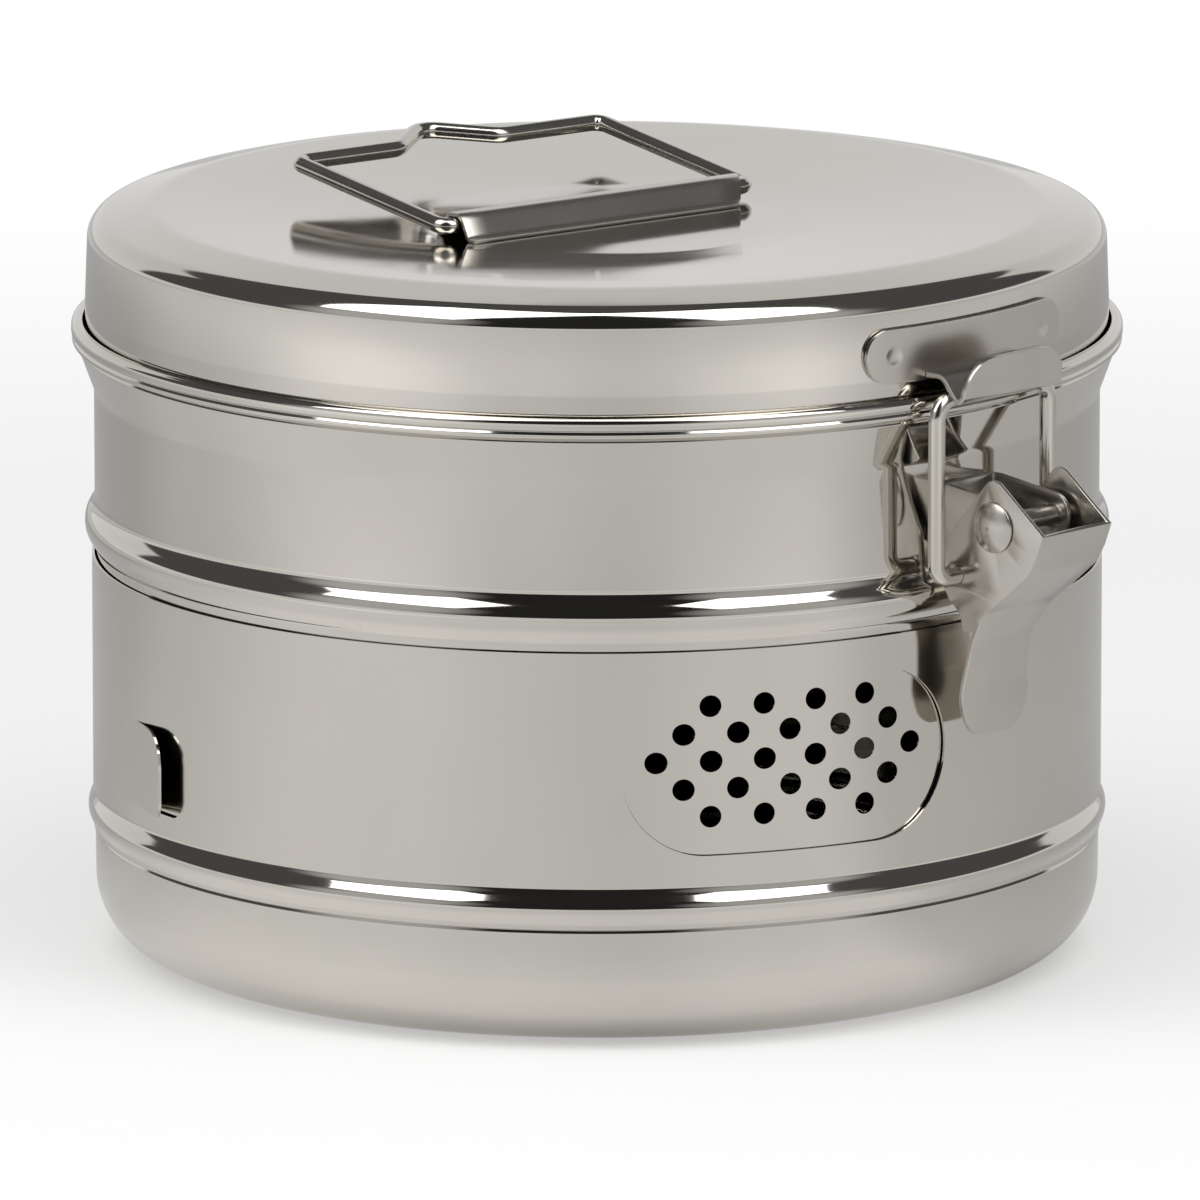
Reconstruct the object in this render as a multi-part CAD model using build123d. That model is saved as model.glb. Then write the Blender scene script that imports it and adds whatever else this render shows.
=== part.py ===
# Stainless steel sterilization drum: a round pressed-sheet canister with a hinged
# lid, a folding wire handle, an over-centre side latch and a sliding shutter band
# that covers or opens two fields of steam holes in the wall.
# The drum's axis is Z and it stands on z = 0. The latch is at -Y, the hinge at +Y.
# A bearing is an angle about Z counted from the latch towards -X.

import os
from math import asin, atan, cos, degrees, hypot, radians, sin, sqrt, tan

from build123d import *

# Body: one drawn sheet with two beads, a groove between them and a flared collar.
body_diameter = 240.0
sheet = 0.8
hem_step = 0.6
hem_height = 3.0
lower_bead_rise = 2.2
lower_bead_foot = 3.7
lower_bead_shoulder = 4.4
upper_bead_rise = 2.9
upper_bead_foot = 6.8
upper_bead_shoulder = 6.0
bead_radius = 3.0
bead_edge_radius = 2.5
groove_depth = 0.3
groove_height = 58.6
plain_wall_height = 25.4
collar_flare = 3.4
collar_height = 9.4
collar_bend_radius = 5.0

# Rim: the collar's edge folded outwards, with a crease pressed round it.
rim_reach = 5.4
rim_low_step = 2.2
rim_height = 4.9
rim_crease_height = 1.6
rim_crease_depth = 0.6
rim_lower_inset = 0.2
rim_top_radius = 1.8
rim_edge_radius = 0.5

# Base pan: a shallow dish whose wall is tucked up inside the body.
pan_height = 28.0
pan_corner_radius = 15.0
pan_draft = 0.35
pan_wall_step = 0.2
pan_shoulder_height = 1.0
pan_tuck_height = 8.0
seam_clearance = 0.05

# Steam holes: rows of a hexagonal pattern in the groove wall, at two bearings.
hole_diameter = 5.2
hole_row_pitch = 6.6
hole_pitch_angle = 6.26
hole_rows = 5
hole_middle_count = 6
hole_field_rise = 1.0
hole_field_turn = 0.7
window_bearing = 24.9
window_count = 2

# Shutter band, which turns in the groove between the beads.
band_thickness = 0.6
band_clearance = 0.4
band_low_gap = 0.5
band_top_gap = 2.0
window_arc = 85.5
window_height = 43.0
window_drop = 0.2
tab_length = 28.0
tab_height = 20.2
tab_sill = 5.0
tab_lift_angle = 5.9
tab_arch_radius = 12.0
tab_corner_radius = 3.0
tab_foot_radius = 4.5
tab_slit = 1.2
tab_pair_bearing = 128.2
tab_hinge_spread = 25.6

# Lid: a drawn cap with a recessed panel and a skirt that drops inside the collar.
lid_skirt_step = 2.0
lid_clearance = 0.4
lid_skirt_height = 33.5
lid_shoulder_height = 13.0
lid_shoulder_draft = 0.8
lid_shoulder_radius = 6.0
lid_crest_inset = 16.0
lid_crest_rise = 1.4
panel_inset = 40.0
panel_step_width = 5.0
panel_step_radius = 5.0
panel_depth = 2.8

# Handle: a wire bail with a peaked grip, held in a sheet saddle on the lid panel.
handle_turn = -10.0
bail_wire = 4.0
bail_width = 90.0
bail_leg = 58.0
bail_peak = 14.0
bail_peak_width = 30.0
bail_elbow_radius = 3.0
bail_peak_radius = 6.0
bail_tail = 30.0
bail_rest_angle = 6.3
bail_lift = 3.2
saddle_length = 84.0
saddle_sheet = 1.0
saddle_clearance = 0.1
saddle_slope = 38.0
saddle_front_foot = 3.5
saddle_back_foot = 2.2
saddle_bend_radius = 1.6

# Keeper on the lid skirt: a stadium plate with a turned-out lip.
keeper_sheet = 1.2
keeper_length = 67.2
keeper_height = 13.0
keeper_rise = 3.6
keeper_dimple_spread = 52.0
keeper_dimple_radius = 2.2
keeper_dimple_depth = 0.35
lip_root_rise = 0.5
lip_half_width = 16.8
lip_reach = 19.3
lip_bend_out = 9.9
lip_bend_drop = 1.6
lip_tip_rise = 8.2
lip_corner_radius = 10.0
lip_bend_radius = 3.0

# Latch: a U-section lever on a riveted pin, with a wire loop that reaches the lip.
pin_out = 19.5
pin_drop = 13.4
pin_diameter = 4.0
pin_head_diameter = 12.0
pin_head_height = 2.2
pin_head_rim = 0.5
pin_head_gap = 0.15
pivot_clearance = 0.05
loop_pivot_back = 11.5
loop_pivot_drop = 13.0
loop_wire = 4.0
loop_half_width = 19.2
loop_corner_radius = 5.0
loop_foot_radius = 3.5
loop_foot_reach = 1.0
loop_lip_gap = 0.4
bracket_sheet = 1.2
bracket_half_width = 9.4
bracket_height = 15.0
bracket_boss_radius = 5.0
bracket_bend_radius = 2.0
spacer_wall = 0.6

# Lever: the bend points of its web and of its cheeks' back edge, as (out, up) from the pin.
lever_sheet = 1.2
lever_half_width = 12.0
tongue_length = 52.2
tongue_out = -10.2
web_line = [(-8.2, -29.5), (-3.5, -21.7), (3.0, -16.7), (11.0, -10.0), (13.5, -5.5), (15.5, -0.2)]
web_bend_radii = [12.0, 12.0, 12.0, 12.0, 5.0, 5.0]
cheek_line = [(-0.5, 12.2), (-10.9, 0.3), (-15.5, -5.2), (-16.2, -10.5), (-16.3, -15.5), (-14.1, -19.2)]
cheek_radii = [3.2, 6.0, 5.0, 10.0, 5.0, 6.0, 5.0]
cheek_foot = (-10.9, -22.2)
tongue_bend_drop = 40.0
tongue_neck_half_width = 10.0
tongue_half_width = 11.5
lever_plan_top = 20.0
tongue_shoulder_drop = 0.383 * tongue_length
tongue_neck_drop = 0.594 * tongue_length
tongue_bulge_drop = 0.843 * tongue_length
tongue_tip_taper = 3.0
tongue_plan_radii = [1.0] + [share * tongue_length for share in (0.36, 0.36, 0.16, 0.12)]

# Hinge at the back: a leaf on the lid, a joggled leaf on the body and a pin.
hinge_out = 10.5
hinge_rise = 5.2
knuckle_diameter = 7.0
hinge_pin_diameter = 3.0
hinge_sheet = 1.2
hinge_gap = 0.3
lid_leaf_half_width = 20.0
lid_leaf_height = 10.0
lid_leaf_rise = 1.5
lid_leaf_corner_radius = 3.0
lid_leaf_arm_height = 6.0
lid_knuckle_half = 6.9
body_leaf_half_width = 15.0
body_leaf_height = 16.0
body_leaf_drop = 1.5
body_leaf_clear = 2.7
joggle_height = 7.5
joggle_radius = 3.0
hinge_pin_head = 0.9
hinge_pin_head_height = 1.2
hinge_pin_head_rim = 0.4

seat = 0.05  # gap between two parts that are spot-welded face to face
bite = 1.0  # how far a tool or a joined shape reaches past the surface it meets
reach = 10.0  # how far a through-cut runs on either side of the wall
sharp = 0.1  # radius of a corner that is left nearly sharp


# ---- Levels and radii that follow from the sizes above ----
wall = body_diameter / 2
seam_z = pan_height
lower_bead_z = seam_z + hem_height + lower_bead_foot
groove_low_z = lower_bead_z + lower_bead_shoulder
groove_high_z = groove_low_z + groove_height
upper_bead_z = groove_high_z + upper_bead_foot
wall_low_z = upper_bead_z + upper_bead_shoulder
collar_z = wall_low_z + plain_wall_height
collar_top_z = collar_z + collar_height
rim_low_z = collar_top_z + rim_low_step
rim_top_z = rim_low_z + rim_height
groove_radius = wall - groove_depth
collar_radius = wall + collar_flare
rim_radius = wall + rim_reach

collar_slope = atan(collar_flare / collar_height)
lid_skirt_radius = wall + lid_skirt_step
skirt_low_z = collar_z + (lid_skirt_step + lid_clearance + sheet / cos(collar_slope)) / tan(collar_slope)
skirt_high_z = skirt_low_z + lid_skirt_height - lid_shoulder_height
lid_top_z = skirt_low_z + lid_skirt_height
crest_radius = lid_skirt_radius - lid_crest_inset
panel_radius = lid_skirt_radius - panel_inset
panel_z = lid_top_z - panel_depth
bail_pivot_z = panel_z + bail_lift

band_low_z = groove_low_z + band_low_gap
band_high_z = groove_high_z - band_top_gap
band_inner = groove_radius + band_clearance
band_outer = band_inner + band_thickness
window_z = (groove_low_z + groove_high_z) / 2 - window_drop

pin_y = -(wall + pin_out)
pin_z = collar_z - pin_drop
loop_y = pin_y + loop_pivot_back
loop_z = pin_z - loop_pivot_drop
pin_radius = pin_diameter / 2
pin_hole_radius = pin_radius + pivot_clearance

keeper_inner = lid_skirt_radius + seat
keeper_outer = keeper_inner + keeper_sheet
keeper_low_z = rim_top_z + keeper_rise
lip_under_z = keeper_low_z - lip_bend_drop
loop_bar_z = lip_under_z - loop_lip_gap - loop_wire / 2

hinge_y = wall + hinge_out
hinge_z = rim_top_z + hinge_rise
hinge_hole_radius = hinge_pin_diameter / 2 + pivot_clearance
knuckle_radius = knuckle_diameter / 2


# ---- Helpers ----
def offset_polyline(points, distance):
    """Points of the mitred parallel, on the left of the direction of travel."""
    headings = []
    for (x0, y0), (x1, y1) in zip(points, points[1:]):
        length = hypot(x1 - x0, y1 - y0)
        headings.append(((x1 - x0) / length, (y1 - y0) / length))
    moved = []
    for index, (x, y) in enumerate(points):
        before = headings[max(index - 1, 0)]
        after = headings[min(index, len(headings) - 1)]
        share = distance / (1 + before[0] * after[0] + before[1] * after[1])
        moved.append((x - (before[1] + after[1]) * share, y + (before[0] + after[0]) * share))
    return moved


def sheet_face(points, radii, thickness):
    """A bent strip of sheet in section, with its thickness on the left of the points."""
    inner_radii = []
    for (x0, y0), (x1, y1), (x2, y2), radius in zip(points, points[1:], points[2:], radii):
        turns_left = (x1 - x0) * (y2 - y1) - (y1 - y0) * (x2 - x1) > 0
        inner_radii.append(radius - thickness if turns_left else radius + thickness)
    outer = FilletPolyline(*points, radius=radii)
    inner = FilletPolyline(*offset_polyline(points, thickness), radius=inner_radii)
    ends = [Line(outer @ 0, inner @ 0), Line(outer @ 1, inner @ 1)]
    return make_face(outer.edges() + inner.edges() + [end.edge() for end in ends])


def rounded_face(points, radii):
    """A closed outline with a radius at each of its points."""
    return make_face(FilletPolyline(*points, radius=radii, close=True).edges())


def turned(face):
    """A section drawn as (radius, height), turned once about the drum's axis."""
    return revolve(Plane.XZ * face, axis=Axis.Z)


def outward(sketch, low, high):
    """A sketch of (x, z) made solid from radius low to radius high on the latch side."""
    return extrude(Plane.XZ.offset(low) * sketch, amount=high - low)


def across(face, half_width, mirrored=False):
    """A section drawn as (distance from the axis, height), made solid along X."""
    solid = Pos(-half_width, 0, 0) * extrude(Plane.YZ * face, amount=2 * half_width)
    return solid if mirrored else Rot(0, 0, 180) * solid


def at_bearing(shape, bearing):
    return Rot(0, 0, -bearing) * shape


def ring(inner, outer, low, high):
    return Pos(0, 0, low) * extrude(Circle(outer) - Circle(inner), amount=high - low)


def drum_side(radius):
    """A solid cylinder on the drum's axis, for trimming a part to the wall it sits on."""
    return Pos(0, 0, lid_top_z / 2) * Cylinder(radius, 2 * lid_top_z)


def cross_pin(radius, half_length, y, z):
    return Pos(0, y, z) * Rot(0, 90, 0) * Cylinder(radius, 2 * half_length)


def save(shape, name):
    export_step(shape, f"parts/{name}.step")


# ---- Body and pan ----
def make_drum_body():
    profile = [
        (wall + hem_step, seam_z),
        (wall + hem_step, seam_z + hem_height),
        (wall + lower_bead_rise, lower_bead_z),
        (groove_radius, groove_low_z),
        (groove_radius, groove_high_z),
        (wall + upper_bead_rise, upper_bead_z),
        (wall, wall_low_z),
        (wall, collar_z),
        (collar_radius, collar_top_z),
        (collar_radius, rim_top_z - rim_edge_radius),
    ]
    edge = bead_edge_radius
    radii = [edge, bead_radius, edge, edge, bead_radius, collar_bend_radius, collar_bend_radius, edge]
    body = turned(sheet_face(profile, radii, sheet) + rim_face())
    return body - steam_holes()


def rim_face():
    """The folded edge in section: a rounded fold with a crease above its lower edge."""
    lower_radius = rim_radius - rim_lower_inset
    crease_z = rim_low_z + rim_crease_height
    points = [
        (collar_radius - sheet, rim_low_z),
        (lower_radius, rim_low_z),
        (lower_radius, crease_z - rim_crease_depth),
        (rim_radius - rim_crease_depth, crease_z),
        (rim_radius, crease_z + rim_crease_depth),
        (rim_radius, rim_top_z),
        (collar_radius - sheet, rim_top_z),
    ]
    edge = rim_edge_radius
    return rounded_face(points, [sharp, edge, edge, sharp, edge, rim_top_radius, edge])


def steam_holes():
    """Every hole of every field, as radial cylinders."""
    drill = Pos(0, -wall, 0) * Rot(90, 0, 0) * Cylinder(hole_diameter / 2, reach)
    holes = []
    for field in range(window_count):
        middle = window_bearing + hole_field_turn + field * 360 / window_count
        for row in range(hole_rows):
            step = row - (hole_rows - 1) / 2
            count = hole_middle_count - int(abs(step))
            for place in range(count):
                bearing = middle + (place - (count - 1) / 2) * hole_pitch_angle
                height = window_z + hole_field_rise + step * hole_row_pitch
                holes.append(at_bearing(Pos(0, 0, height) * drill, bearing))
    return holes


def make_base_pan():
    pan_radius = wall + pan_wall_step
    tuck_radius = wall + hem_step - sheet - seam_clearance
    profile = [
        (0, 0),
        (pan_radius - pan_draft, 0),
        (pan_radius, seam_z - pan_shoulder_height),
        (tuck_radius, seam_z),
        (tuck_radius, seam_z + pan_tuck_height),
    ]
    return turned(sheet_face(profile, [pan_corner_radius, sheet + sharp, sharp], sheet))


# ---- Shutter ----
def tab_outline(length, height):
    """The arched flap, hinged on its left edge, in a sketch of (x, z)."""
    corners = [(0, 0), (length, 0), (length, height), (0, height)]
    radii = [sharp, tab_corner_radius, tab_arch_radius, tab_foot_radius]
    return rounded_face(corners, radii)


def finger_tab():
    """The flap lifted off the band, hinged at bearing 0 and reaching towards +X."""
    flap = Plane.XZ * tab_outline(tab_length, tab_height)
    flap = extrude(flap, amount=band_thickness)
    return Pos(0, -band_inner, band_low_z + tab_sill) * Rot(0, 0, -tab_lift_angle) * flap


def tab_opening():
    """The slot that the flap was cut from, a slit wider than the flap."""
    turn = degrees(asin(tab_length / 2 / band_outer))
    outline = Pos(-tab_length / 2, band_low_z + tab_sill) * tab_outline(tab_length + tab_slit, tab_height)
    return at_bearing(outward(outline, wall - reach, wall + reach), -turn)


def make_shutter_band():
    band = ring(band_inner, band_outer, band_low_z, band_high_z)
    window_width = 2 * band_outer * sin(window_arc / 2 / band_outer)
    slot = Pos(0, window_z) * SlotOverall(window_width, window_height)
    window = outward(slot, wall - reach, wall + reach)
    for field in range(window_count):
        band -= at_bearing(window, window_bearing + field * 360 / window_count)
    for side in (1, -1):
        opening = tab_opening()
        flap = finger_tab()
        if side < 0:
            opening = mirror(opening, Plane.YZ)
            flap = mirror(flap, Plane.YZ)
        bearing = tab_pair_bearing - side * tab_hinge_spread / 2
        band = band - at_bearing(opening, bearing)
        band = band + at_bearing(flap, bearing)
    return band


# ---- Lid ----
def make_lid_shell():
    shoulder_radius = lid_skirt_radius - lid_shoulder_draft
    profile = [
        (lid_skirt_radius, skirt_low_z),
        (lid_skirt_radius, skirt_high_z),
        (shoulder_radius, lid_top_z - lid_crest_rise / 2),
        (crest_radius, lid_top_z + lid_crest_rise / 2),
        (panel_radius + panel_step_width, lid_top_z),
        (panel_radius, panel_z),
        (0, panel_z),
    ]
    step = panel_step_radius
    return turned(sheet_face(profile, [step, lid_shoulder_radius, step, step, step], sheet))


def make_keeper_hook():
    plate_z = keeper_low_z + keeper_height / 2
    stadium = Pos(0, plate_z) * SlotOverall(keeper_length, keeper_height)
    plate = ring(keeper_inner, keeper_outer, keeper_low_z - bite, keeper_low_z + keeper_height + bite)
    plate &= outward(stadium, wall - keeper_height, keeper_outer + reach)
    profile = [
        (wall, keeper_low_z + lip_root_rise),
        (wall + lip_bend_out, lip_under_z),
        (wall + lip_reach, lip_under_z + lip_tip_rise + lip_bend_drop),
    ]
    lip = across(sheet_face(profile, [lip_bend_radius + keeper_sheet], keeper_sheet), lip_half_width)
    tip = -(wall + lip_reach + keeper_sheet)
    corners = [(-lip_half_width, 0), (lip_half_width, 0), (lip_half_width, tip), (-lip_half_width, tip)]
    plan = rounded_face(corners, [sharp, sharp, lip_corner_radius, lip_corner_radius])
    lip &= extrude(plan, amount=2 * lid_top_z)
    lip -= drum_side(keeper_inner)
    hook = plate + lip
    dimple_ball = (keeper_dimple_radius**2 + keeper_dimple_depth**2) / (2 * keeper_dimple_depth)
    ball = Pos(0, -(keeper_outer + dimple_ball - keeper_dimple_depth), plate_z) * Sphere(dimple_ball)
    half_spread = degrees(keeper_dimple_spread / 2 / keeper_outer)
    for bearing in (-half_spread, half_spread):
        hook -= at_bearing(ball, bearing)
    return hook


def make_handle_saddle():
    """An inverted-V strip over the bail's two tails, with a foot along each side."""
    slope = radians(saddle_slope)
    inner_radius = bail_wire / 2 + saddle_clearance
    peak = inner_radius / cos(slope)
    foot_z = -bail_lift + seat
    half_base = (peak - foot_z) / tan(slope)
    profile = [
        (-half_base - saddle_back_foot, foot_z),
        (-half_base, foot_z),
        (0, peak),
        (half_base, foot_z),
        (half_base + saddle_front_foot, foot_z),
    ]
    radii = [saddle_bend_radius + saddle_sheet, inner_radius, saddle_bend_radius + saddle_sheet]
    face = sheet_face(profile, radii, saddle_sheet)
    strip = across(face, saddle_length / 2)
    return Pos(0, 0, bail_pivot_z) * Rot(0, 0, handle_turn) * strip


def make_bail_handle():
    half = bail_width / 2
    points = [
        (half - bail_tail, 0),
        (half, 0),
        (half, bail_leg),
        (bail_peak_width / 2, bail_leg),
        (0, bail_leg + bail_peak),
        (-bail_peak_width / 2, bail_leg),
        (-half, bail_leg),
        (-half, 0),
        (-half + bail_tail, 0),
    ]
    elbow = bail_elbow_radius
    radii = [elbow, elbow, bail_peak_radius, bail_peak_radius, bail_peak_radius, elbow, elbow]
    path = FilletPolyline(*points, radius=radii)
    bail = sweep(Plane(origin=path @ 0, z_dir=path % 0) * Circle(bail_wire / 2), path=path)
    return Pos(0, 0, bail_pivot_z) * Rot(0, 0, handle_turn) * Rot(bail_rest_angle, 0, 0) * bail


# ---- Latch ----
def from_pin(points):
    """Section points given as (out, up) from the pin's centre."""
    return [(-pin_y + out, pin_z + up) for out, up in points]


def make_latch_lever():
    bend_point = (tongue_out, -tongue_bend_drop)
    web_points = [(tongue_out, -tongue_length), bend_point] + web_line
    web = across(sheet_face(from_pin(web_points), web_bend_radii, lever_sheet), lever_half_width)

    neck_point = [(low + high) / 2 for low, high in zip(bend_point, web_line[0])]
    back_end = (neck_point[0] - lever_sheet + sharp, neck_point[1])
    back_points = [web_line[-1]] + cheek_line + [cheek_foot, back_end]
    front_line = FilletPolyline(*from_pin([neck_point] + web_line), radius=web_bend_radii[1:])
    back_line = FilletPolyline(*from_pin(back_points), radius=cheek_radii)
    closing = Line(front_line @ 0, back_line @ 1)
    cheek = make_face(front_line.edges() + back_line.edges() + [closing.edge()])
    cheeks = across(cheek, lever_half_width) - across(cheek, lever_half_width - lever_sheet)

    lever = (web + cheeks) & tongue_plan()
    lever -= cross_pin(pin_hole_radius, 2 * lever_half_width, pin_y, pin_z)
    lever -= cross_pin(loop_wire / 2 + pivot_clearance, 2 * lever_half_width, loop_y, loop_z)
    return lever


def tongue_plan():
    """The lever's front outline: straight channel, waisted neck and round-ended tongue."""
    side = [
        (lever_half_width, lever_plan_top),
        (lever_half_width, -tongue_shoulder_drop),
        (tongue_neck_half_width, -tongue_neck_drop),
        (tongue_half_width, -tongue_bulge_drop),
        (tongue_half_width - tongue_tip_taper, -tongue_length),
    ]
    points = side + [(-x, z) for x, z in reversed(side)]
    radii = tongue_plan_radii + tongue_plan_radii[::-1]
    outline = rounded_face([(x, pin_z + z) for x, z in points], radii)
    return outward(outline, wall, wall + 2 * pin_out + tongue_length)


def make_latch_loop():
    foot = lever_half_width - lever_sheet - loop_foot_reach
    points = [
        (-foot, loop_z),
        (-loop_half_width, loop_z),
        (-loop_half_width, loop_bar_z),
        (loop_half_width, loop_bar_z),
        (loop_half_width, loop_z),
        (foot, loop_z),
    ]
    radii = [loop_foot_radius, loop_corner_radius, loop_corner_radius, loop_foot_radius]
    path = Plane.XZ.offset(-loop_y) * FilletPolyline(*points, radius=radii)
    return sweep(Plane(origin=path @ 0, z_dir=path % 0) * Circle(loop_wire / 2), path=path)


def make_latch_bracket():
    low = pin_z - bracket_height / 2
    plate = ring(wall + seat, wall + seat + bracket_sheet, low, low + bracket_height)
    plate &= Pos(0, -wall, pin_z) * Box(2 * bracket_half_width, 2 * reach, 2 * bracket_height)
    root = wall + 2 * bracket_sheet
    tip = -pin_y + bracket_boss_radius
    corners = [
        (wall - bite, low),
        (root, low),
        (tip, pin_z - bracket_boss_radius),
        (tip, pin_z + bracket_boss_radius),
        (root, low + bracket_height),
        (wall - bite, low + bracket_height),
    ]
    boss = bracket_boss_radius - sharp
    bend = bracket_bend_radius
    ear = rounded_face(corners, [sharp, bend, boss, boss, bend, sharp])
    ears = across(ear, bracket_half_width) - across(ear, bracket_half_width - bracket_sheet)
    bracket = plate + (ears - drum_side(wall + seat))
    return bracket - cross_pin(pin_hole_radius, 2 * bracket_half_width, pin_y, pin_z)


def domed_head(radius, rim, height):
    """A rivet head standing on the XY plane."""
    section = make_face(
        [
            Line((0, 0), (radius, 0)).edge(),
            Line((radius, 0), (radius, rim)).edge(),
            dome_arc(radius, rim, height).edge(),
            Line((0, height), (0, 0)).edge(),
        ]
    )
    return revolve(Plane.XZ * section, axis=Axis.Z)


def dome_arc(radius, rim, height):
    rise = height - rim
    ball = (radius**2 + rise**2) / (2 * rise)
    half = radius / 2
    return ThreePointArc((radius, rim), (half, height - ball + sqrt(ball**2 - half**2)), (0, height))


def make_latch_pin():
    head_x = lever_half_width + pin_head_gap
    pin = cross_pin(pin_radius, head_x + pin_head_rim / 2, pin_y, pin_z)
    head = domed_head(pin_head_diameter / 2, pin_head_rim, pin_head_height)
    for side in (1, -1):
        pin += Pos(side * head_x, pin_y, pin_z) * Rot(0, 90 * side, 0) * head
    return pin


def make_latch_spacer():
    half = bracket_half_width - bracket_sheet - seat
    outer = cross_pin(pin_hole_radius + spacer_wall, half, pin_y, pin_z)
    return outer - cross_pin(pin_hole_radius, 2 * half, pin_y, pin_z)


# ---- Hinge ----
def make_hinge_lid_leaf():
    low = hinge_z + lid_leaf_rise
    inner = lid_skirt_radius + seat
    leaf = ring(inner, inner + hinge_sheet, low, low + lid_leaf_height)
    plate = RectangleRounded(2 * lid_leaf_half_width, lid_leaf_height, lid_leaf_corner_radius)
    leaf &= Rot(0, 0, 180) * outward(Pos(0, low + lid_leaf_height / 2) * plate, wall - reach, wall + reach)
    corners = [
        (inner - bite, low),
        (hinge_y - knuckle_radius + hinge_sheet / 2, hinge_z),
        (hinge_y, hinge_z),
        (hinge_y, hinge_z + knuckle_radius),
        (inner + hinge_sheet, low + lid_leaf_arm_height),
        (inner - bite, low + lid_leaf_arm_height),
    ]
    arm = across(make_face(Polyline(*corners, close=True).edges()), lid_knuckle_half, mirrored=True)
    knuckle = cross_pin(knuckle_radius, lid_knuckle_half, hinge_y, hinge_z)
    leaf = leaf + (arm - drum_side(inner)) + knuckle
    return leaf - cross_pin(hinge_hole_radius, 2 * lid_knuckle_half, hinge_y, hinge_z)


def make_hinge_body_leaf():
    """A leaf that steps out past the rim and carries the two outer knuckles."""
    upright = rim_radius + body_leaf_clear
    foot_high = collar_z - body_leaf_drop
    profile = [
        (wall + seat, foot_high - body_leaf_height),
        (wall + seat, foot_high),
        (upright, foot_high + joggle_height),
        (upright, hinge_z),
    ]
    section = sheet_face(profile, [joggle_radius, joggle_radius], -hinge_sheet)
    leaf = turned(section) & (Pos(0, wall, collar_z) * Box(2 * body_leaf_half_width, wall, body_diameter))
    knuckle = cross_pin(knuckle_radius, body_leaf_half_width, hinge_y, hinge_z)
    gap_width = 2 * (lid_knuckle_half + hinge_gap)
    gap = Pos(0, hinge_y, hinge_z) * Box(gap_width, 2 * knuckle_diameter, knuckle_diameter + 2 * hinge_gap)
    leaf = (leaf + knuckle) - gap
    return leaf - cross_pin(hinge_hole_radius, 2 * body_leaf_half_width, hinge_y, hinge_z)


def make_hinge_pin():
    head_x = body_leaf_half_width + pivot_clearance
    pin_half = head_x + hinge_pin_head_rim / 2
    pin = cross_pin(hinge_pin_diameter / 2, pin_half, hinge_y, hinge_z)
    head = domed_head(hinge_pin_diameter / 2 + hinge_pin_head, hinge_pin_head_rim, hinge_pin_head_height)
    for side in (1, -1):
        pin += Pos(side * head_x, hinge_y, hinge_z) * Rot(0, 90 * side, 0) * head
    return pin


os.makedirs("parts", exist_ok=True)
save(make_drum_body(), "drum_body")
save(make_base_pan(), "base_pan")
save(make_shutter_band(), "shutter_band")
save(make_lid_shell(), "lid_shell")
save(make_keeper_hook(), "keeper_hook")
save(make_handle_saddle(), "handle_saddle")
save(make_bail_handle(), "bail_handle")
save(make_latch_lever(), "latch_lever")
save(make_latch_loop(), "latch_loop")
save(make_latch_bracket(), "latch_bracket")
save(make_latch_pin(), "latch_pin")
save(make_latch_spacer(), "latch_spacer")
save(make_hinge_lid_leaf(), "hinge_lid_leaf")
save(make_hinge_body_leaf(), "hinge_body_leaf")
save(make_hinge_pin(), "hinge_pin")

print("total height", round(lid_top_z, 2), "lid skirt bottom", round(skirt_low_z, 2))
print("panel", round(panel_z, 2), "pin A", pin_y, round(pin_z, 2), "loop pivot", loop_y, round(loop_z, 2))
print("hinge", hinge_y, round(hinge_z, 2), "bail pivot", round(bail_pivot_z, 2))
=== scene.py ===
from math import acos, asin, atan, atan2, ceil, cos, degrees, hypot, pi, radians, sin, sqrt, tan

import bmesh
import bpy
from mathutils import Matrix, Vector


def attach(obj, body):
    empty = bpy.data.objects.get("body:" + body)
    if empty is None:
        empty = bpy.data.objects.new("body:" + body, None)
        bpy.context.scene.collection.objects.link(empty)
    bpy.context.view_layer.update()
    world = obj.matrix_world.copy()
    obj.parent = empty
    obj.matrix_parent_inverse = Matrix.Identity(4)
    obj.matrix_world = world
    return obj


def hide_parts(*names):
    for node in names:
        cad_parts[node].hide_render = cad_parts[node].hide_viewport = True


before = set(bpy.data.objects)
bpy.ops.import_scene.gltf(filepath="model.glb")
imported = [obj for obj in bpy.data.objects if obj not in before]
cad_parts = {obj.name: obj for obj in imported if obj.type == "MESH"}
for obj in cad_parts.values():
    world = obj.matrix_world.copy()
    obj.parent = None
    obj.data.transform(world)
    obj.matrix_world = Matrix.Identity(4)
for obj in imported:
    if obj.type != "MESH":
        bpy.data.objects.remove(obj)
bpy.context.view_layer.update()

mm = 0.001
print("frame loaded")


# ---------- small tools ----------
def srgb(code):
    # an sRGB hex colour as the linear RGBA that the shaders take
    values = [int(code[i:i + 2], 16) / 255 for i in (1, 3, 5)]
    return [v / 12.92 if v <= 0.04045 else ((v + 0.055) / 1.055) ** 2.4 for v in values] + [1.0]


def addNode(tree, kind, links=None, **settings):
    # adds one node; links maps an input to a value or to another node's output
    node = tree.nodes.new(kind)
    for key, value in settings.items():
        setattr(node, key, value)
    for key, value in (links or {}).items():
        if isinstance(value, bpy.types.NodeSocket):
            tree.links.new(value, node.inputs[key])
        else:
            node.inputs[key].default_value = value
    return node


def newMesh(name, verts, faces):
    mesh = bpy.data.meshes.new(name)
    mesh.from_pydata([tuple(v) for v in verts], [], faces)
    mesh.update()
    piece = bpy.data.objects.new(name, mesh)
    bpy.context.scene.collection.objects.link(piece)
    return piece


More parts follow.
